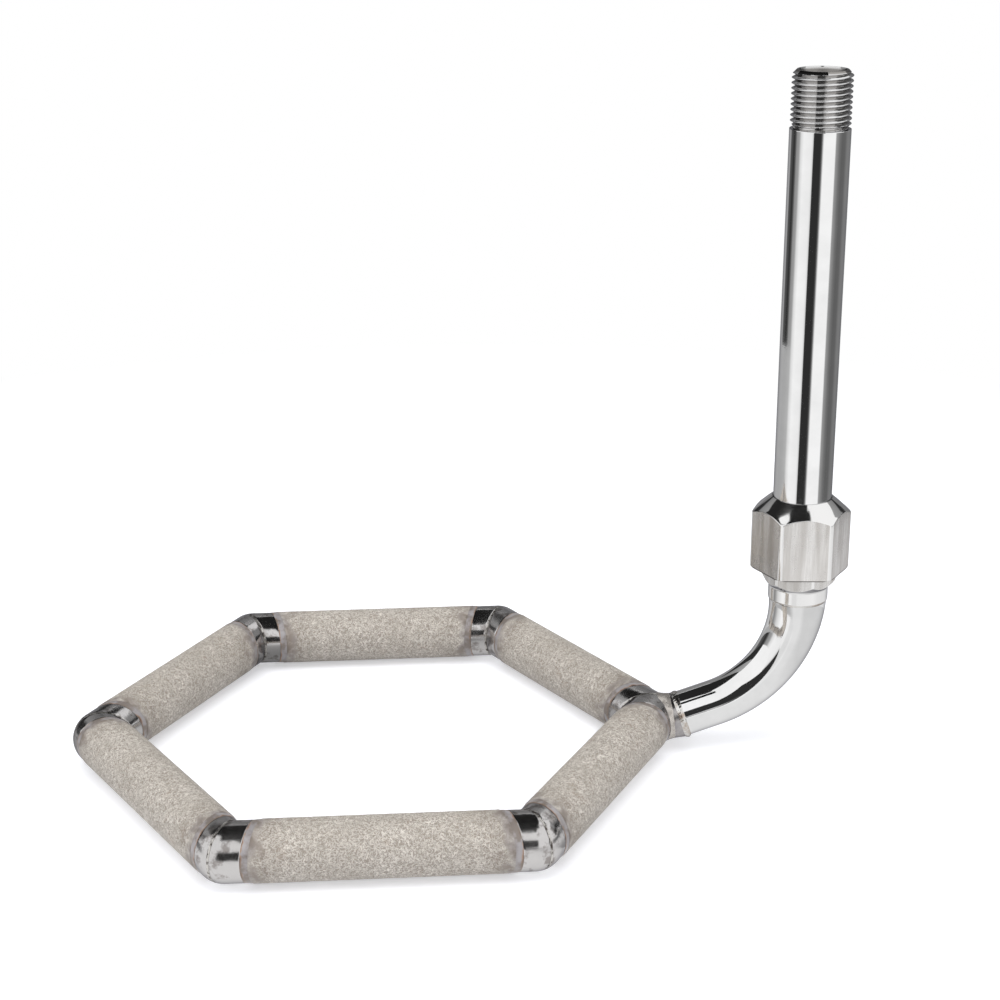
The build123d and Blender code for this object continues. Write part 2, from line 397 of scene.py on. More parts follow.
def spoke(axis, theta):
    """Directions round an axis that lies in the plane of the branch: 0 towards +Y, 90 degrees upwards."""
    side = np.array([0.0, 1.0, 0.0])
    return np.cos(theta)[..., None] * side + np.sin(theta)[..., None] * np.cross(axis, side)


def lathe(name, origin, axis, profile, columns, **more):
    """Turns a closed outline of (radius, height) round an axis. Radii and heights may vary round it."""
    theta = ring_angles(columns)
    rings = []
    for radius, height in profile:
        radius = np.broadcast_to(radius, theta.shape)
        height = np.broadcast_to(height, theta.shape)
        rings.append(origin + height[:, None] * axis + radius[:, None] * spoke(axis, theta))
    return closed_skin(name, rings, **more)


def upright_lathe(name, profile, columns, **more):
    """Like lathe, round the riser's axis, with its angles measured from +X."""
    theta = ring_angles(columns)
    rings = []
    for radius, height in profile:
        radius = np.broadcast_to(radius, theta.shape)
        height = np.broadcast_to(height, theta.shape)
        rings.append(np.stack([RISER_X + radius * np.cos(theta), radius * np.sin(theta), height], -1))
    return closed_skin(name, rings, **more)


def branch_stub():
    columns = 140
    theta = ring_angles(columns)
    foot = math.sqrt(STUB_R**2 - BRANCH_R**2)
    inner_foot = math.sqrt(STUB_R**2 - BRANCH_BORE_R**2)
    slope = spoke(branch_dir, theta) @ bend_dir / (branch_dir @ bend_dir)
    end = BRANCH_LENGTH - BRANCH_R * slope
    profile = [(BRANCH_BORE_R, inner_foot)]
    for share in np.linspace(0, 1, 26):
        wave = BRANCH_WAVE * (rough_round(theta, 2.0, share * 6) - 1)
        profile.append((BRANCH_R + wave, foot * (1 - share) + end * share))
    profile.append((BRANCH_BORE_R, BRANCH_LENGTH - BRANCH_BORE_R * slope))
    return lathe("branch", corner_point, branch_dir, profile, columns)


def saddle_weld():
    columns = 160
    theta = ring_angles(columns)
    toe_r = BRANCH_R + SADDLE_SPREAD
    toe = math.sqrt(STUB_R**2 - toe_r**2)
    seat = math.sqrt(STUB_R**2 - BRANCH_R**2)
    profile = [(BRANCH_R, seat - 0.02)]
    for share in np.linspace(0, 1, 12):
        bow = math.sin(math.pi * share)
        radius = toe_r * (1 - share) + BRANCH_R * share
        height = toe * (1 - share) + (seat + SADDLE_CLIMB) * share
        lump = (SADDLE_LUMP * rough_round(theta, 5, share) - 0.02) * bow
        sag = SADDLE_SAG * bow
        profile.append((radius + 0.01 - sag + lump, height - sag + lump))
    return lathe("saddle_fillet", corner_point, branch_dir, profile, columns, blended=1.0)


def branch_weld():
    """A rippled bead whose crown is flatter on top than below."""
    columns = 220
    theta = ring_angles(columns)
    sunk = 0.35 + 0.65 * (0.5 - 0.5 * np.sin(theta))
    profile = [(BRANCH_BORE_R, 0.0)]
    for share in np.linspace(0, 1, 18):
        rise = math.sin(math.pi * share) ** 0.8
        ridge = max(0.0, 1 - abs(share - 0.5) * 2.4)
        ripple = BEAD_RIPPLE * np.cos(theta * BEAD_RIPPLES + 5 * (share - 0.5))
        lump = BEAD_LUMP * rough_round(theta, 3.0, 2 + share)
        crown = 0.10 + sunk * BRANCH_WELD_CROWN * (0.60 * rise + 0.15 * ridge) + (ripple + lump) * rise
        profile.append((BRANCH_R + np.minimum(crown, BRANCH_WELD_CROWN), BRANCH_WELD_WIDTH * share))
    profile.append((BRANCH_BORE_R, BRANCH_WELD_WIDTH))
    return lathe("branch_bead", branch_end, bend_dir, profile, columns)


def bend_ring(theta, place, on_outside):
    """A ring of the bend: place -1 to 0 is the straight leg, 0 to 1 the arc."""
    if place < 0:
        centre = bend_start + bend_dir * BEND_LEG * (1 + place)
        axis = bend_dir
        swell = 0.0
    else:
        climb = BEND_RISE + (math.pi / 2 - BEND_RISE) * place
        axis = np.array([math.cos(climb), 0, math.sin(climb)])
        arc_x = RISER_X - BEND_RADIUS * (1 - math.sin(climb))
        centre = np.array([arc_x, 0, BEND_TOP - BEND_RADIUS * math.cos(climb)])
        swell = place**BEND_SWELL
    outer = BRANCH_R + (PIPE_R - BRANCH_R) * swell
    inner = BRANCH_BORE_R + (PIPE_R - BEND_WALL - BRANCH_BORE_R) * swell
    return centre + (outer if on_outside else inner) * spoke(axis, theta)


def inlet_bend():
    theta = ring_angles(144)
    outside = [*np.linspace(-1, 0, 20)[:-1], *np.linspace(0, 1, 90)]
    inside = [*outside[::-4], -1]
    rings = [bend_ring(theta, place, True) for place in outside]
    rings += [bend_ring(theta, place, False) for place in inside]
    return closed_skin("bend", rings)


def adapter_bead():
    columns = 200
    theta = ring_angles(columns)
    profile = [(PIPE_BORE_R, 1.0), (PIPE_R - BEND_WALL, 0.0)]
    for share in np.linspace(0, 1, 10):
        base = PIPE_R * (1 - share) + NECK_R * share
        lump = NECK_LUMP * rough_round(theta, 7.0, share) + NECK_RIPPLE * np.cos(theta * NECK_RIPPLES)
        bump = math.sin(math.pi * share) * np.clip(0.08 + lump, -0.08, 0.15)
        profile.append((base + bump, share))
    return lathe("neck_bead", np.array([RISER_X, 0, BEND_TOP]), UP, profile[::-1], columns)


class HexOutline:
    """The outline of a hexagonal nut, row by row: which parts are turned, and which get painted shade where
    they lie in the joint between the nuts.
    """

    def __init__(self, columns, flats, corners, turn):
        from_corner = np.mod(ring_angles(columns) - turn, math.pi / 3) - math.pi / 6
        flat = flats / 2 / np.cos(from_corner)
        self.columns = columns
        self.side = smooth_min(flat, corners / 2, SOFT_EDGE)
        self.land = (flat > corners / 2 - LAND_EDGE) * 1.0
        self.profile = []
        self.turned = []
        self.gap = []

    def add(self, radius, height, turned=False, gap=False):
        self.profile.append((radius, height))
        self.turned.append(np.maximum(turned, self.land))
        self.gap.append(gap)

    def skin(self, name):
        gap = np.array(self.gap)[:, None]
        return upright_lathe(name, self.profile, self.columns, turned=np.array(self.turned), gap=gap)


def hex_coupling():
    outline = HexOutline(600, COUPLING_FLATS, COUPLING_CORNERS, COUPLING_TURN)
    side = outline.side
    mouth = SHOULDER_MOUTH / 2
    slope = (COUPLING_CORNERS / 2 - mouth) / SHOULDER_HEIGHT
    crease = COUPLING_TOP - (side - mouth) / slope
    foot = COUPLING_CORNERS / 2 - BASE_CHAMFER_RUN
    base_slope = BASE_CHAMFER_RUN / BASE_CHAMFER
    # The lowest rows get painted shade where the coupling meets the adapter
    outline.add(TAPPED_R, COUPLING_BASE, turned=True, gap=True)
    for rise in (0.0, 0.05, 0.12, 0.2, 0.28, 0.35, 0.42, 0.5, 0.65, 0.9, 1.3):
        radius = smooth_min(side, foot + base_slope * rise, SOFT_EDGE)
        outline.add(radius, COUPLING_BASE + rise, gap=rise < SHADED_EDGE)
    start = COUPLING_BASE + 1.3
    for share in np.linspace(0, 1, 22)[1:]:
        outline.add(side, start * (1 - share) + (crease - 0.8) * share)
    for rise in (-0.6, -0.45, -0.3, -0.2, -0.1, 0.0, 0.1, 0.2, 0.3, 0.45, 0.6):
        radius = smooth_min(side, side - rise * slope, SOFT_EDGE)
        outline.add(radius, crease + rise, turned=rise >= 0)
    start = crease + 0.6
    for share in np.linspace(0, 1, 14)[1:]:
        height = start * (1 - share) + COUPLING_TOP * share
        swell = SHOULDER_SWELL * math.sin(math.pi * share)
        outline.add(mouth + (COUPLING_TOP - height) * slope + swell, height, turned=True)
    outline.add(TAPPED_R + COUNTERSINK, COUPLING_TOP, turned=True)
    outline.add(TAPPED_R, COUPLING_TOP - COUNTERSINK, turned=True)
    return outline.skin("coupling")


def weld_adapter():
    outline = HexOutline(480, ADAPTER_FLATS, ADAPTER_CORNERS, ADAPTER_TURN)
    side = outline.side
    crease = HEX_BASE + side - NECK_R
    neck_top = HEX_BASE - NECK_FILLET
    outline.add(PIPE_BORE_R, NECK_BASE, turned=True)
    for height in np.linspace(NECK_BASE, neck_top, 8):
        outline.add(NECK_R, height, turned=True)
    for share in np.linspace(0, 1, 14)[1:]:
        height = neck_top * (1 - share) + (crease - 0.35) * share
        outline.add(NECK_R - smooth_min(HEX_BASE - height, 0.0, NECK_FILLET), height, turned=True)
    for rise in (-0.25, -0.15, -0.05, 0.05, 0.15, 0.25, 0.4):
        outline.add(smooth_min(side, side + rise, SOFT_EDGE), crease + rise, turned=rise < 0)
    start = crease + 0.4
    for share in np.linspace(0, 1, 8)[1:]:
        height = start * (1 - share) + (COUPLING_BASE - 0.25) * share
        outline.add(side, height, gap=share == 1)
    # The adapter's top edge and its thread inside the coupling get painted shade
    outline.add(side - 0.05, COUPLING_BASE - 0.1, gap=True)
    outline.add(side - 0.2, COUPLING_BASE, gap=True)
    outline.add(THREAD_R, COUPLING_BASE, turned=True, gap=True)
    outline.add(THREAD_R, PIPE_BASE - 1, turned=True, gap=True)
    outline.add(THREAD_R - 1, PIPE_BASE, turned=True, gap=True)
    outline.add(PIPE_BORE_R, PIPE_BASE, turned=True, gap=True)
    return outline.skin("adapter")


def thread_radius(theta, height):
    """Rounded right-hand thread that runs out into the relief groove at its foot."""
    foot = PIPE_TOP - THREAD_LENGTH
    phase = (height - foot) / THREAD_PITCH - theta / (2 * math.pi)
    wave = np.abs(np.mod(phase, 1) - 0.5) * 2
    tooth = 0.5 - 0.5 * np.cos(math.pi * wave)
    run_out = RELIEF_R + np.maximum(height - foot - RELIEF_WIDTH, 0) * THREAD_RUN_OUT
    return np.minimum(THREAD_R + THREAD_CROWN - THREAD_DEPTH * (1 - tooth), run_out)


def riser_pipe():
    """The pipe with its thread. It marks how deep the thread's grooves go, for painted shade in them, and
    what lies inside the bore, which gets painted shade and rougher steel.
    """
    columns = 132
    theta = ring_angles(columns)
    foot = PIPE_TOP - THREAD_LENGTH
    shoulder = COUPLING_TOP - COUNTERSINK / 2
    profile = [(PIPE_BORE_R, PIPE_BASE), (THREAD_R - 1, PIPE_BASE), (THREAD_R, PIPE_BASE + 1),
               (THREAD_R, shoulder), (PIPE_R - 0.05, shoulder), (PIPE_R, shoulder + 0.1)]
    for height in np.linspace(shoulder + 0.25, foot - 0.3, 60):
        profile.append((PIPE_R, height))
    profile += [(PIPE_R, foot - 0.12), (PIPE_R - 0.04, foot - 0.03), (PIPE_R - 0.15, foot), (RELIEF_R, foot)]
    threaded = len(profile)
    for height in np.linspace(foot, PIPE_TOP, int(THREAD_LENGTH / THREAD_PITCH * THREAD_ROWS))[1:]:
        chamfer = THREAD_R - THREAD_CHAMFER + PIPE_TOP - height
        profile.append((np.minimum(thread_radius(theta, height), chamfer), height))
    profile.append((PIPE_BORE_R + MOUTH_CHAMFER, PIPE_TOP))
    outer = len(profile)
    for height in np.linspace(PIPE_TOP - MOUTH_DEPTH, PIPE_BASE + 1, 14):
        profile.append((PIPE_BORE_R, height))
    # inside marks the bore, whose steel gets painted shade and is rougher
    inside = np.zeros(len(profile))
    inside[outer:] = 1.0
    inside[0] = 1.0
    # painted shade in the thread's grooves, strongest at their bottoms
    cut = np.zeros((len(profile), columns))
    for row in range(threaded, outer - 1):
        cut[row] = np.clip((THREAD_R - profile[row][0]) / THREAD_DEPTH, 0, 1) ** 3
    return upright_lathe("riser", profile, columns, inside=inside[:, None], cut=cut)


# Materials

class Net:
    """Short names for adding and joining shader nodes."""

    def __init__(self, tree):
        self.tree = tree
        self.coordinates = tree.nodes.new("ShaderNodeTexCoord").outputs["Object"]

    def node(self, kind, inputs=None, **settings):
        made = self.tree.nodes.new(kind)
        for key, value in settings.items():
            setattr(made, key, value)
        for key, value in (inputs or {}).items():
            self.feed(made.inputs[key], value)
        return made

    def feed(self, socket, value):
        if isinstance(value, bpy.types.NodeSocket):
            self.tree.links.new(value, socket)
        else:
            socket.default_value = value

    def scaled(self, scale):
        return self.node("ShaderNodeMapping", {"Vector": self.coordinates, "Scale": scale}).outputs[0]

    def noise(self, scale, detail=2.0, rough=0.5, vector=None, distortion=0.0):
        inputs = {"Vector": vector or self.coordinates, "Scale": scale, "Detail": detail,
                  "Roughness": rough, "Distortion": distortion}
        return self.node("ShaderNodeTexNoise", inputs).outputs["Fac"]

    def math(self, operation, a, b=0.0, clamp=False):
        return self.node("ShaderNodeMath", {0: a, 1: b}, operation=operation, use_clamp=clamp).outputs[0]

    def remap(self, value, low, high, to_low=0.0, to_high=1.0):
        inputs = {"Value": value, "From Min": low, "From Max": high, "To Min": to_low, "To Max": to_high}
        return self.node("ShaderNodeMapRange", inputs).outputs[0]

    def mix(self, share, a, b):
        made = self.node("ShaderNodeMix", data_type="RGBA")
        self.feed(made.inputs["Factor"], share)
        self.feed(made.inputs[6], a)
        self.feed(made.inputs[7], b)
        return made.outputs[2]

    def attribute(self, name):
        return self.node("ShaderNodeAttribute", attribute_name=name).outputs["Fac"]

    def bump(self, height, strength, distance, under=None):
        inputs = {"Height": height, "Strength": strength, "Distance": distance}
        if under is not None:
            inputs["Normal"] = under
        return self.node("ShaderNodeBump", inputs).outputs[0]

    def glow(self, colour):
        return self.node("ShaderNodeEmission", {"Color": colour, "Strength": 1.0}).outputs[0]

    def seen_as_paper(self):
        """1 for rays from the camera, off the steel or through it, and 0 for the light itself."""
        path = self.node("ShaderNodeLightPath").outputs
        seen = self.math("MAXIMUM", path["Is Camera Ray"], path["Is Glossy Ray"])
        return self.math("MAXIMUM", seen, path["Is Transmission Ray"])


def rgb(r, g, b):
    return (r, g, b, 1.0)


EDGE_TINT = rgb(0.42, 0.42, 0.44)         # steel darkens a little where it turns away from the eye
SINTER_HOLLOW_SHADE = rgb(0.330, 0.290, 0.250)     # painted shade in the hollows between the grains
SINTER_HIGH = rgb(0.820, 0.780, 0.720)    # on their crests
SINTER_CLOUD = rgb(0.36, 0.325, 0.28)
SINTER_RUST = rgb(0.30, 0.215, 0.155)
SINTER_GLAZE = rgb(0.39, 0.37, 0.375)     # melted skin beside the welds
HEAT_BROWN = rgb(0.165, 0.130, 0.105)
GROUND_STAIN = rgb(0.16, 0.13, 0.115)
# painted shade at the bottom of the thread's grooves
THREAD_GROOVE_SHADE = rgb(0.20, 0.18, 0.16)
# painted shade inside the bore
BORE_SHADE = rgb(0.17, 0.155, 0.14)
BAND_DULL = rgb(0.215, 0.18, 0.155)
SEAM_DARK = rgb(0.11, 0.095, 0.085)
SEAM_BRIGHT = rgb(0.62, 0.60, 0.57)
SADDLE_TONE = rgb(0.58, 0.54, 0.50)
BEAD_BRIGHT = rgb(0.80, 0.79, 0.77)
BEAD_BROWN = rgb(0.42, 0.33, 0.26)
BRANCH_BLUE = rgb(0.30, 0.285, 0.30)
BRANCH_PALE = rgb(0.52, 0.50, 0.49)
BRANCH_BROWN = rgb(0.22, 0.15, 0.11)
NUT_DARK = rgb(0.66, 0.635, 0.61)
NUT_BRIGHT = rgb(0.90, 0.885, 0.87)
NUT_STREAK = rgb(0.55, 0.525, 0.50)
NUT_TURNED = rgb(0.88, 0.875, 0.87)
# painted shade for the edges in the joint between the coupling and the adapter
NUT_GAP_SHADE = rgb(0.09, 0.08, 0.075)


def new_material(name):
    material = bpy.data.materials.new(name)
    material.use_nodes = True
    tree = material.node_tree
    return material, Net(tree), tree.nodes["Principled BSDF"]


def metal(shader, metallic=1.0):
    shader.inputs["Metallic"].default_value = metallic
    shader.inputs["Specular Tint"].default_value = EDGE_TINT


def sintered_ridges(net):
    """Thin crooked lines about a millimetre apart: 1 on a line, 0 between them."""
    lines = []
    for scale, sharpness, distortion in ((640, 15.0, 1.1), (980, 17.0, 0.9)):
        field = net.noise(scale, 1.0, 0.5, distortion=distortion)
        away = net.math("ABSOLUTE", net.math("SUBTRACT", field, 0.5))
        lines.append(net.math("SUBTRACT", 1.0, net.math("MULTIPLY", away, sharpness), True))
    return net.math("MAXIMUM", lines[0], net.math("MULTIPLY", lines[1], 0.8))


def sintered_material():
    """Pale grains sintered into short crooked ridges with painted shade between them, browned and glazed over
    towards the welds.
    """
    material, net, shader = new_material("sintered")
    heat = net.attribute("browned")
    ridges = net.math("MULTIPLY", sintered_ridges(net), 0.85)
    crest = net.math("ADD", ridges, net.math("MULTIPLY", net.attribute("grain"), 0.15), True)
    cloud = net.noise(75, 3, 0.6)
    patch = net.noise(210, 3, 0.6)
    smooth = net.remap(net.math("ADD", heat, net.remap(patch, 0.3, 0.7, -0.20, 0.20)), 0.72, 1.0)
    grainy = net.math("MULTIPLY", crest, net.math("SUBTRACT", 1.0, smooth))
    crest = net.math("ADD", grainy, net.math("MULTIPLY", smooth, 0.45))
    rusty = net.math("MULTIPLY", net.remap(patch, 0.58, 0.75), 0.30, True)
    glazed_patch = net.remap(net.noise(160, 2, 0.5), 0.42, 0.58, 0.20, 0.80)
    glaze = net.math("MULTIPLY", smooth, glazed_patch, True)
    stained_patch = net.remap(patch, 0.40, 0.62, 0.16, 0.85)
    stain = net.math("MULTIPLY", net.math("POWER", heat, 1.8), stained_patch, True)
    # painted shade between the grains' ridges, where crest is low
    base = net.mix(crest, SINTER_HOLLOW_SHADE, SINTER_HIGH)
    base = net.mix(net.remap(cloud, 0.35, 0.7, 0.0, 0.35), base, SINTER_CLOUD)
    base = net.mix(rusty, base, SINTER_RUST)
    base = net.mix(glaze, base, SINTER_GLAZE)
    base = net.mix(stain, base, HEAT_BROWN)
    roughness = net.remap(crest, 0, 1, 0.75, 0.55)
    roughness = net.math("SUBTRACT", roughness, net.math("MULTIPLY", glaze, 0.25))
    net.feed(shader.inputs["Base Color"], base)
    net.feed(shader.inputs["Roughness"], roughness)
    net.feed(shader.inputs["Normal"], net.bump(crest, 0.55, 0.0002))
    shader.inputs["Metallic"].default_value = 0.2
    return material


def polished_material(name, tone, roughness, scratch, ripple=0.0, wave=0.0, stain=0.0):
    """Bright steel: scratch is the depth of fine lines, ripple of turned rings, wave of hand grinding."""
    material, net, shader = new_material(name)
    lines = net.noise(1.0, 2, 0.6, net.scaled((2600, 2600, 160)))
    crossed = net.noise(1.0, 2, 0.6, net.scaled((240, 2100, 2400)))
    cloud = net.noise(120, 3, 0.55)
    darker = [channel * 0.86 for channel in tone]
    base = net.mix(net.remap(cloud, 0.3, 0.75, 0.0, 0.6), rgb(*tone), rgb(*darker))
    if stain:
        spots = net.math("MULTIPLY", net.remap(net.noise(230, 3, 0.6), 0.52, 0.66), stain)
        base = net.mix(spots, base, GROUND_STAIN)
    # painted shade in the thread's grooves
    base = net.mix(net.math("MULTIPLY", net.attribute("cut"), 0.8), base, THREAD_GROOVE_SHADE)
    inside = net.attribute("inside")
    # painted shade inside the bore
    base = net.mix(net.math("MULTIPLY", inside, 0.8), base, BORE_SHADE)
    worn = net.remap(cloud, 0.35, 0.75, roughness, roughness * 2)
    normal = net.bump(lines, scratch, 0.00003)
    normal = net.bump(crossed, scratch, 0.00003, normal)
    if ripple:
        turned_rings = net.noise(1.0, 2, 0.6, net.scaled((60, 60, 1500)))
        normal = net.bump(turned_rings, ripple, 0.00005, normal)
    if wave:
        normal = net.bump(net.noise(170, 1, 0.5), wave, 0.0004, normal)
        normal = net.bump(net.noise(700, 2, 0.5), wave * 0.8, 0.0001, normal)
    net.feed(shader.inputs["Base Color"], base)
    net.feed(shader.inputs["Roughness"], net.math("ADD", worn, net.math("MULTIPLY", inside, 0.35)))
    net.feed(shader.inputs["Normal"], normal)
    metal(shader)
    return material


def band_material():
    """Heat tint across a band: brown at the stub, then grey with a trace of violet, and dull in patches."""
    material, net, shader = new_material("tinted_weld")
    cloud = net.noise(260, 3, 0.6)
    place = net.math("ADD", net.attribute("across"), net.remap(cloud, 0.3, 0.7, -0.22, 0.22))
    ramp = net.node("ShaderNodeValToRGB", {"Fac": place})
    stops = ramp.color_ramp.elements
    stops[0].position = 0.0
    stops[0].color = rgb(0.17, 0.115, 0.09)
    stops[1].position = 1.0
    stops[1].color = rgb(0.35, 0.325, 0.325)
    stops.new(0.12).color = rgb(0.40, 0.27, 0.20)
    stops.new(0.24).color = rgb(0.385, 0.365, 0.375)
    stops.new(0.60).color = rgb(0.395, 0.375, 0.385)
    dull = net.math("MULTIPLY", net.remap(net.noise(190, 3, 0.6), 0.44, 0.60), 0.85)
    net.feed(shader.inputs["Base Color"], net.mix(dull, ramp.outputs[0], BAND_DULL))
    net.feed(shader.inputs["Roughness"], net.remap(cloud, 0.3, 0.7, 0.30, 0.50))
    net.feed(shader.inputs["Normal"], net.bump(net.noise(900, 3, 0.6), 0.35, 0.0001))
    shader.inputs["Metallic"].default_value = 0.35
    return material


def seam_material():
    """Ground welds, dark and pitted. Where a weld is blended, it is paler and smoother."""
    material, net, shader = new_material("seam")
    cloud = net.noise(600, 3, 0.6)
    blended = net.attribute("blended")
    base = net.mix(net.remap(cloud, 0.40, 0.54), SEAM_DARK, SEAM_BRIGHT)
    base = net.mix(net.math("MULTIPLY", blended, 0.75), base, SADDLE_TONE)
    strength = net.math("SUBTRACT", 0.5, net.math("MULTIPLY", blended, 0.35))
    net.feed(shader.inputs["Base Color"], base)
    net.feed(shader.inputs["Roughness"], net.remap(cloud, 0.35, 0.65, 0.40, 0.20))
    net.feed(shader.inputs["Normal"], net.bump(net.noise(1500, 3, 0.6), strength, 0.0001))
    metal(shader, 0.9)
    return material


def bead_material():
    material, net, shader = new_material("bead")
    cloud = net.noise(260, 3, 0.6)
    net.feed(shader.inputs["Base Color"], net.mix(net.remap(cloud, 0.45, 0.72), BEAD_BRIGHT, BEAD_BROWN))
    net.feed(shader.inputs["Roughness"], net.remap(cloud, 0.3, 0.7, 0.10, 0.24))
    net.feed(shader.inputs["Normal"], net.bump(net.noise(700, 3, 0.6), 0.25, 0.0001))
    metal(shader)
    return material


def branch_material():
    material, net, shader = new_material("branch")
    cloud = net.noise(190, 4, 0.6)
    base = net.mix(net.remap(cloud, 0.35, 0.65), BRANCH_BLUE, BRANCH_PALE)
    base = net.mix(net.remap(net.noise(420, 2, 0.5), 0.6, 0.75, 0, 0.5), base, BRANCH_BROWN)
    net.feed(shader.inputs["Base Color"], base)
    net.feed(shader.inputs["Roughness"], net.remap(cloud, 0.3, 0.7, 0.12, 0.3))
    net.feed(shader.inputs["Normal"], net.bump(net.noise(330, 3, 0.6), 0.25, 0.0002))
    metal(shader)
    return material


def nut_material():
    """Brushed flats with upright streaks, bright turned faces and painted shade on the edges at the joint."""
    material, net, shader = new_material("nut")
    streak = net.noise(1.0, 3, 0.65, net.scaled((2400, 2400, 130)))
    coarse = net.noise(1.0, 2, 0.6, net.scaled((230, 230, 22)))
    cloud = net.noise(150, 3, 0.6)
    turned = net.attribute("turned")
    base = net.mix(net.remap(coarse, 0.36, 0.62), NUT_DARK, NUT_BRIGHT)
    base = net.mix(net.remap(streak, 0.35, 0.75, 0.0, 0.35), base, NUT_STREAK)
    base = net.mix(turned, base, NUT_TURNED)
    # painted shade on the edges at the joint of the two nuts
    base = net.mix(net.attribute("gap"), base, NUT_GAP_SHADE)
    brushed = net.remap(cloud, 0.3, 0.7, 0.20, 0.30)
    strength = net.math("SUBTRACT", 0.14, net.math("MULTIPLY", turned, 0.135))
    grain = net.bump(streak, strength, 0.00006)
    normal = net.bump(coarse, net.math("MULTIPLY", strength, 0.7), 0.0003, grain)
    net.feed(shader.inputs["Base Color"], base)
    net.feed(shader.inputs["Roughness"], net.math("SUBTRACT", brushed, net.math("MULTIPLY", turned, 0.17)))
    net.feed(shader.inputs["Normal"], normal)
    metal(shader)
    return material


sintered = sintered_material()
corner_steel = polished_material("corner", (0.64, 0.625, 0.62), 0.12, 0.08, wave=0.18, stain=0.6)
pipe_steel = polished_material("pipe", (0.90, 0.90, 0.90), 0.035, 0.02, ripple=0.05)
band = band_material()
seam = seam_material()
bead = bead_material()
branch_steel = branch_material()
nut_steel = nut_material()

for i in range(SIDES):
    near, far = STUB_LENGTHS[i]
    before = STUB_LENGTHS[i - 1][1]
    dress(porous_tube(i, near, far), f"porous_tube_{i + 1}", sintered)
    dress(corner_stub(i, 1, near), f"corner_stub_{i + 1}a", corner_steel)
    dress(corner_stub(i, -1, before), f"corner_stub_{i + 1}b", corner_steel)
    dress(weld_band(i, 1, near), f"tube_weld_{i + 1}a", band)
    dress(weld_band(i, -1, before), f"tube_weld_{i + 1}b", band)
    dress(mitre_seam(i), f"mitre_weld_{i + 1}", seam)

dress(branch_stub(), "branch_stub", branch_steel)
dress(saddle_weld(), "saddle_weld", seam)
dress(branch_weld(), "branch_weld", bead)
dress(inlet_bend(), "inlet_bend", pipe_steel)
dress(adapter_bead(), "adapter_weld", bead)
dress(weld_adapter(), "weld_adapter", nut_steel)
dress(hex_coupling(), "hex_coupling", nut_steel)
dress(riser_pipe(), "riser_pipe", pipe_steel)


# Floor and world

WHITE = rgb(1, 1, 1)
FLOOR_TONE = rgb(0.785, 0.795, 0.83)
FLOOR_GLOW = rgb(0.39, 0.39, 0.395)
FLOOR_HALF = 4.0
FLOOR_Z = -0.0004
SHADOW_REACH = (0.30, 0.60)     # the shadow is kept up to the first distance and gone at the second
ROOM_LIGHT = 0.55


def bare_material(name):
    material = bpy.data.materials.new(name)
    material.use_nodes = True
    material.node_tree.nodes.clear()
    return material, Net(material.node_tree)


def floor_material():
    """White paper that keeps the object's shadow near it and fades into the white background."""
    material, net = bare_material("floor")
    diffuse = net.node("ShaderNodeBsdfDiffuse", {"Color": FLOOR_TONE}).outputs[0]
    near_paper = net.node("ShaderNodeAddShader", {0: diffuse, 1: net.glow(FLOOR_GLOW)}).outputs[0]
    distance = net.node("ShaderNodeVectorMath", {0: net.coordinates}, operation="LENGTH").outputs["Value"]
    fade = net.remap(distance, *SHADOW_REACH)
    paper = net.node("ShaderNodeMixShader", {0: fade, 1: near_paper, 2: net.glow(WHITE)}).outputs[0]
    chosen = net.node("ShaderNodeMixShader", {0: net.seen_as_paper(), 1: diffuse, 2: paper})
    net.node("ShaderNodeOutputMaterial", {"Surface": chosen.outputs[0]})
    return material


def add_floor():
    corners = [(-FLOOR_HALF, -FLOOR_HALF), (FLOOR_HALF, -FLOOR_HALF),
               (FLOOR_HALF, FLOOR_HALF), (-FLOOR_HALF, FLOOR_HALF)]
    mesh = bpy.data.meshes.new("floor")
    mesh.from_pydata([(x, y, FLOOR_Z) for x, y in corners], [], [(0, 1, 2, 3)])
    mesh.materials.append(floor_material())
    add_object("floor", mesh)


def add_world():
    world = bpy.data.worlds.new("studio")
    bpy.context.scene.world = world
    world.use_nodes = True
    world.node_tree.nodes.clear()
    net = Net(world.node_tree)
    room = net.node("ShaderNodeBackground", {"Color": WHITE, "Strength": ROOM_LIGHT}).outputs[0]
    paper = net.node("ShaderNodeBackground", {"Color": WHITE, "Strength": 1.0}).outputs[0]
    chosen = net.node("ShaderNodeMixShader", {0: net.seen_as_paper(), 1: room, 2: paper})
    net.node("ShaderNodeOutputWorld", {"Surface": chosen.outputs[0]})


# Cards that the steel reflects

BLACK = 0.02
DARK = 0.03
CARD_Z = 0.0004                 # cards that lie on the floor
UNDER_Z = 0.0002
UNDER_HALF = 0.24
NUT_PAPER = 0.12                # distances from the riser's axis, in metres
NEAR_PAPER = 0.28
FAR_PAPER = 0.6
GAP_WALL = 1.55
WALL = 1.6
WALL_LOW = 0.25                 # heights
WALL_MIDDLE = 0.70
WALL_HIGH = 1.3

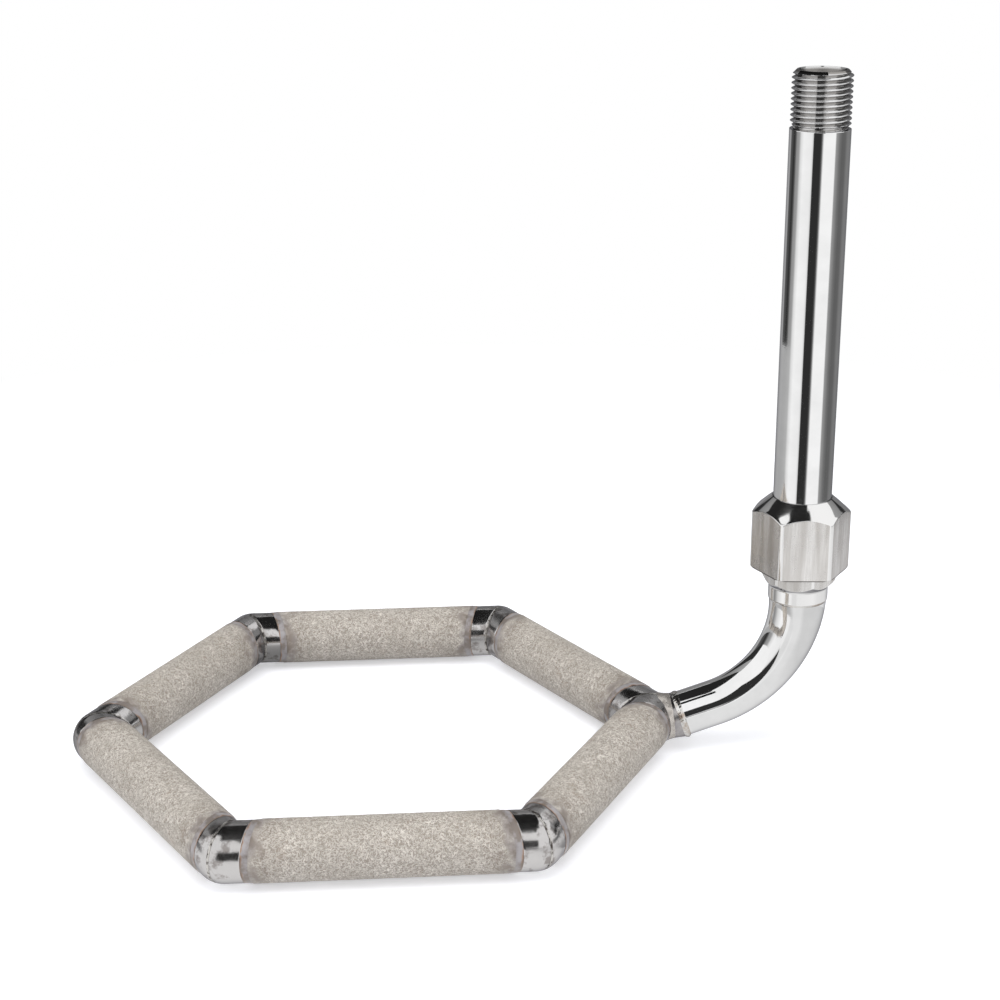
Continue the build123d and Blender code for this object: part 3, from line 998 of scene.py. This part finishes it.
# Pairs of a direction in degrees, as compass takes it, and the paper's tone there
FRONT = ((-72, 0.80), (-60, 1.0), (-30, 0.95), (-24, 0.80), (-21, 0.03), (4, 0.03), (9, 0.12), (13, 0.60),
         (16, 1.0), (60, 1.0), (64, 0.35), (80, 0.18), (92, 0.13), (108, 0.14), (123, 0.24), (147, 0.34),
         (180, 0.50))
NEAR_LEFT = ((-180, 0.55), (-135, 0.55), (-110, 0.45), (-96, 0.45), (-80, 0.5))
FAR_LEFT = ((-180, 0.55), (-135, 0.55), (-128, 0.12), (-106, 0.03), (-98, 0.10), (-92, 0.30), (-80, 0.38))
NUT_LEFT = ((-180, 0.60), (-135, 0.75), (-112, 0.70), (-104, 0.50), (-98, 0.25), (-90, 0.40), (-80, 0.7))
NUT_FRONT = ((-60, 1.0), (-24, 0.95), (-18, 0.8), (-6, 0.8), (0, 0.9), (60, 0.95), (80, 0.85),
             (105, 0.85), (125, 0.95), (150, 0.95), (180, 0.7))

# Pairs of a place from left to right, in metres, and the tone of the paper under the object, a painted shadow
# that only the steel reflects
UNDER_SHADOW_TONES = ((-0.26, 0.48), (0.05, 0.48), (0.08, 0.84), (0.135, 0.84), (0.16, 0.70), (0.26, 0.70))


def card(name, tones, first_row, second_row):
    """A grey or black card beside the set. Only reflections in the steel see it, and it casts no shadow.

    It is a strip between two rows of points, and each pair of points has its own tone.
    """
    count = len(first_row)
    mesh = bpy.data.meshes.new(name)
    faces = [(i, i + 1, count + i + 1, count + i) for i in range(count - 1)]
    mesh.from_pydata([*first_row, *second_row], [], faces)
    layer = mesh.attributes.new("tone", "FLOAT", "POINT")
    layer.data.foreach_set("value", [*np.broadcast_to(tones, count)] * 2)
    material, net = bare_material(name)
    material.cycles.emission_sampling = "NONE"
    net.node("ShaderNodeOutputMaterial", {"Surface": net.glow(net.attribute("tone"))})
    mesh.materials.append(material)
    thing = add_object(name, mesh)
    thing.visible_camera = False
    thing.visible_diffuse = False
    thing.visible_shadow = False
    thing.visible_transmission = False


def compass(angle, radius, height):
    """A point this far from the riser's axis, at degrees from the camera's side, positive to the right."""
    axis_x = RISER_X * MILLIMETRE
    bearing = math.radians(angle) - math.atan2(axis_x - CAMERA_X, -CAMERA_Y)
    return (axis_x + radius * math.sin(bearing), -radius * math.cos(bearing), height)


def panorama(name, stops, near, far, low, high):
    """A strip round the riser from one distance and height to another, with tones by direction."""
    angles = np.arange(stops[0][0], stops[-1][0] + 1, 1.0)
    tones = np.interp(angles, [angle for angle, tone in stops], [tone for angle, tone in stops])
    first_row = [compass(angle, near, low) for angle in angles]
    card(name, tones, first_row, [compass(angle, far, high) for angle in angles])


def add_cards():
    # The paper under the object, with its shadow painted into the card's tones
    tones = [tone for x, tone in UNDER_SHADOW_TONES]
    card("reflected_shadow_under", tones, *[[(x, y, UNDER_Z) for x, tone in UNDER_SHADOW_TONES] for y in (-UNDER_HALF, UNDER_HALF)])
    panorama("paper_nut", NUT_LEFT + NUT_FRONT, NUT_PAPER, NEAR_PAPER, CARD_Z, CARD_Z)
    panorama("paper_near", NEAR_LEFT + FRONT, NEAR_PAPER, FAR_PAPER, CARD_Z, CARD_Z)
    panorama("paper_far", FAR_LEFT + FRONT, FAR_PAPER, WALL, CARD_Z, CARD_Z)
    panorama("wall_low", FAR_LEFT + FRONT, WALL, WALL, 0.0, WALL_LOW)
    panorama("wall_left", ((-150, DARK), (-98, DARK)), WALL, WALL, WALL_LOW, WALL_MIDDLE)
    panorama("wall_right", ((100, DARK), (150, DARK)), WALL, WALL, 0.35, WALL_MIDDLE)
    panorama("upper_left", ((-150, 0.25), (-98, 0.40)), WALL, WALL, WALL_MIDDLE, WALL_HIGH)
    panorama("upper_right", ((100, 0.40), (150, 0.25)), WALL, WALL, WALL_MIDDLE, WALL_HIGH)
    panorama("wall_back", ((150, 0.30), (210, 0.30)), WALL, WALL, WALL_LOW, 1.2)
    panorama("wall_front", ((-21, DARK), (20, DARK)), GAP_WALL, GAP_WALL, 0.08, 0.80)
    card("top_back", BLACK, [(-0.5, 1.45, 1.2), (0.5, 1.45, 1.2)],
         [(-0.35, -0.05, 1.3), (0.35, -0.05, 1.3)])
    card("top_left", BLACK, [(-1.4, 1.45, 1.2), (-0.5, 1.45, 1.2)],
         [(-1.4, 0.70, 1.3), (-0.35, -0.05, 1.3)])
    card("top_front", BLACK, [(-0.35, -0.05, 1.3), (0.35, -0.05, 1.3)],
         [(-0.02, -0.9, 1.2), (0.12, -0.9, 1.2)])
    card("eye", BLACK, [(-0.34, -0.46, 1.15), (0.36, -0.46, 1.15)],
         [(-0.34, -0.22, 1.15), (0.36, -0.22, 1.15)])


# Lamps and camera

def soft_lamp(name, place, look_at, size, power):
    """A soft box that lights the object but isn't reflected in it."""
    data = bpy.data.lights.new(name, "AREA")
    data.shape = "RECTANGLE"
    data.size, data.size_y = size
    data.energy = power
    lamp = add_object(name, data)
    lamp.location = place
    lamp.rotation_mode = "QUATERNION"
    lamp.rotation_quaternion = (Vector(look_at) - Vector(place)).to_track_quat("-Z", "Y")
    lamp.visible_glossy = False


def add_camera():
    yaw = math.radians(CAMERA_YAW)
    pitch = math.radians(CAMERA_PITCH)
    roll = math.radians(CAMERA_ROLL)
    right = Vector((math.cos(yaw), math.sin(yaw), 0))
    ahead = Vector((-math.sin(yaw) * math.cos(pitch), math.cos(yaw) * math.cos(pitch), math.sin(pitch)))
    upward = right.cross(ahead)
    side = right * math.cos(roll) + upward * math.sin(roll)
    top = upward * math.cos(roll) - right * math.sin(roll)
    data = bpy.data.cameras.new("camera")
    data.lens = CAMERA_LENS
    data.sensor_width = 36.0
    data.clip_start = 0.01
    data.clip_end = 50
    camera = add_object("camera", data)
    camera.matrix_world = Matrix((
        (side.x, top.x, -ahead.x, CAMERA_X),
        (side.y, top.y, -ahead.y, CAMERA_Y),
        (side.z, top.z, -ahead.z, CAMERA_Z),
        (0, 0, 0, 1),
    ))
    bpy.context.scene.camera = camera


add_floor()
add_world()
add_cards()
soft_lamp("overhead", (-0.1, -0.25, 1.5), (0, 0, 0), (1.4, 1.2), 13.5)
soft_lamp("left", (-1.3, -0.5, 0.9), (0, 0, 0.05), (0.9, 1.2), 5)
soft_lamp("front", (-0.1, -1.5, 0.7), (0, 0, 0.05), (1.2, 0.6), 5)
soft_lamp("right", (1.4, -0.3, 0.8), (0, 0, 0.1), (0.5, 1.2), 4)
add_camera()
bpy.context.scene.view_settings.view_transform = "Standard"
